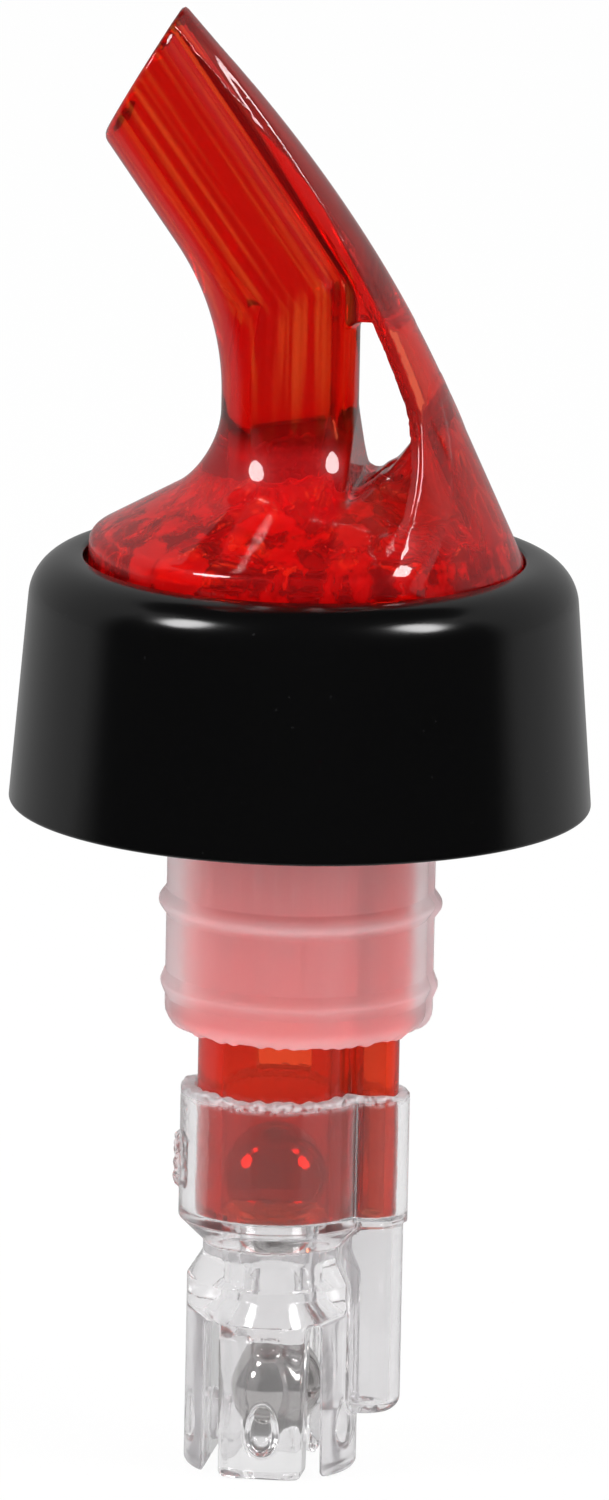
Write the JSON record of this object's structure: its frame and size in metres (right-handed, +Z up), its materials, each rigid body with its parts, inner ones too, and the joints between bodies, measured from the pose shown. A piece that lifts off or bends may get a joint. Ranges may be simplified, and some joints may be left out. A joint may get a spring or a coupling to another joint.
{
  "type": "measured liquor pourer",
  "caption": "Measured bottle pourer: bent clear spout with a back shield, loose dust collar, ribbed stopper and a clear tail cage with steel balls that shut off the pour.",
  "frame": {"origin": "on the stopper's axis, in the plane where the bottle's lip meets the underside of the stopper's flange", "axes": "+Z up out of the bottle along the stopper's axis, the spout pours towards -X, the back shield and breather are at +X"},
  "size_m": [0.045, 0.045, 0.1145],
  "materials": {
    "red_clear": "clear red moulded plastic, glossy",
    "black_gloss": "black moulded plastic, polished",
    "natural_soft": "natural translucent soft plastic, satin",
    "clear": "clear moulded plastic, glossy with a frosty cut rim",
    "ball_steel": "polished steel bearing ball"
  },
  "bodies": {
    "body": {"spout": "red_clear", "stopper": "natural_soft", "tail": "clear"},
    "collar": {"collar": "black_gloss"},
    "cutoff_ball": {"cutoff_ball": "ball_steel"},
    "check_ball": {"check_ball": "ball_steel"}
  },
  "joints": [
    {"name": "collar_turn", "type": "hinge", "parent": "body", "child": "collar", "pos_m": [0, 0, 0.003], "axis": [0, 0, 1], "continuous": true},
    {"name": "cutoff_lift", "type": "slide", "parent": "body", "child": "cutoff_ball", "axis": [0, 0, 1], "range_m": [0, 0.0442]},
    {"name": "check_lift", "type": "slide", "parent": "body", "child": "check_ball", "axis": [0, 0, 1], "range_m": [0, 0.0035]}
  ]
}
